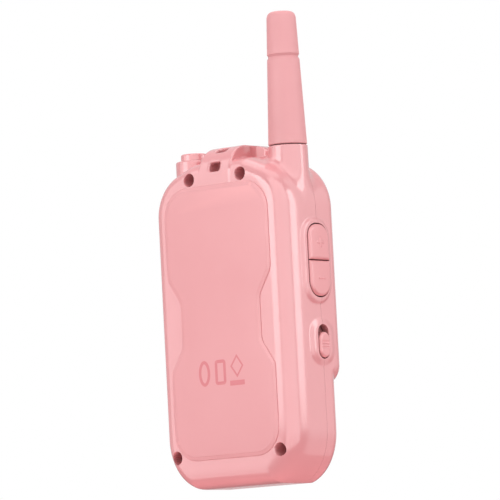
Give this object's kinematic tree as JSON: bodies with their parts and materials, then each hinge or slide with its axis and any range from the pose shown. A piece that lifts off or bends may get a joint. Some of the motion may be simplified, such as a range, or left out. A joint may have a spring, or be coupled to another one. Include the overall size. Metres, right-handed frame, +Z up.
{
  "type": "toy walkie talkie",
  "caption": "Pink hand-held toy two-way radio with a stub antenna, torch, lanyard lug, side talk key, volume keys and power slide.",
  "frame": {"origin": "middle of the flat base, halfway between the rear panel and the front keys", "axes": "+Z up along the antenna, +Y towards the rear panel, +X to the right seen from the display side (talk key side)"},
  "size_m": [0.0604, 0.0298, 0.1576],
  "materials": {
    "gloss_shell": "high gloss moulded pink",
    "key_plastic": "semi gloss moulded pink",
    "soft_sleeve": "matt soft pink",
    "clear_lens": "clear",
    "black_plastic": "matt black",
    "white_plastic": "matt white",
    "plated_steel": "plated",
    "grey_rubber": "matt",
    "spring_wire": "bright wire",
    "green_board": "solder resist",
    "blue_wrap": "shrink wrap",
    "red_wire": "insulation",
    "black_wire": "insulation"
  },
  "bodies": {
    "casing": {"rear_shell": "gloss_shell", "front_shell": "gloss_shell", "torch_ring": "gloss_shell", "keypad_mat": "grey_rubber", "display_lens": "clear_lens", "display_panel": "black_plastic", "display_tray": "white_plastic", "speaker_basket": "plated_steel", "speaker_cone": "black_plastic", "microphone": "plated_steel", "torch_lens": "clear_lens", "torch_light": "clear_lens", "antenna_sleeve": "soft_sleeve", "antenna_coil": "spring_wire", "antenna_stud": "plated_steel", "main_board": "green_board", "radio_shield": "plated_steel", "plus_switch": "black_plastic", "minus_switch": "black_plastic", "talk_switch": "black_plastic", "power_switch": "black_plastic", "usb_port": "plated_steel", "battery_cell": "blue_wrap", "battery_plug": "white_plastic", "battery_lead_positive": "red_wire", "battery_lead_negative": "black_wire", "screw_1": "plated_steel", "screw_2": "plated_steel", "screw_3": "plated_steel", "screw_4": "plated_steel"},
    "plus_key": {"plus_key": "key_plastic"},
    "minus_key": {"minus_key": "key_plastic"},
    "talk_key": {"talk_key": "key_plastic"},
    "menu_key": {"menu_key": "key_plastic"},
    "call_key": {"call_key": "key_plastic"},
    "light_key": {"light_key": "key_plastic"},
    "power_knob": {"power_knob": "key_plastic"}
  },
  "joints": [
    {"name": "plus_press", "type": "slide", "parent": "casing", "child": "plus_key", "axis": [1, 0, 0], "range_m": [0, 0.0006], "stiffness_N_per_m": 400},
    {"name": "minus_press", "type": "slide", "parent": "casing", "child": "minus_key", "axis": [1, 0, 0], "range_m": [0, 0.0006], "stiffness_N_per_m": 400},
    {"name": "talk_press", "type": "slide", "parent": "casing", "child": "talk_key", "axis": [-1, 0, 0], "range_m": [0, 0.0006], "stiffness_N_per_m": 500},
    {"name": "menu_press", "type": "slide", "parent": "casing", "child": "menu_key", "axis": [0, 1, 0], "range_m": [0, 0.0006], "stiffness_N_per_m": 300},
    {"name": "call_press", "type": "slide", "parent": "casing", "child": "call_key", "axis": [0, 1, 0], "range_m": [0, 0.0006], "stiffness_N_per_m": 300},
    {"name": "light_press", "type": "slide", "parent": "casing", "child": "light_key", "axis": [0, 1, 0], "range_m": [0, 0.0006], "stiffness_N_per_m": 300},
    {"name": "power_slide", "type": "slide", "parent": "casing", "child": "power_knob", "axis": [0, 0, 1], "range_m": [0, 0.0022]}
  ]
}
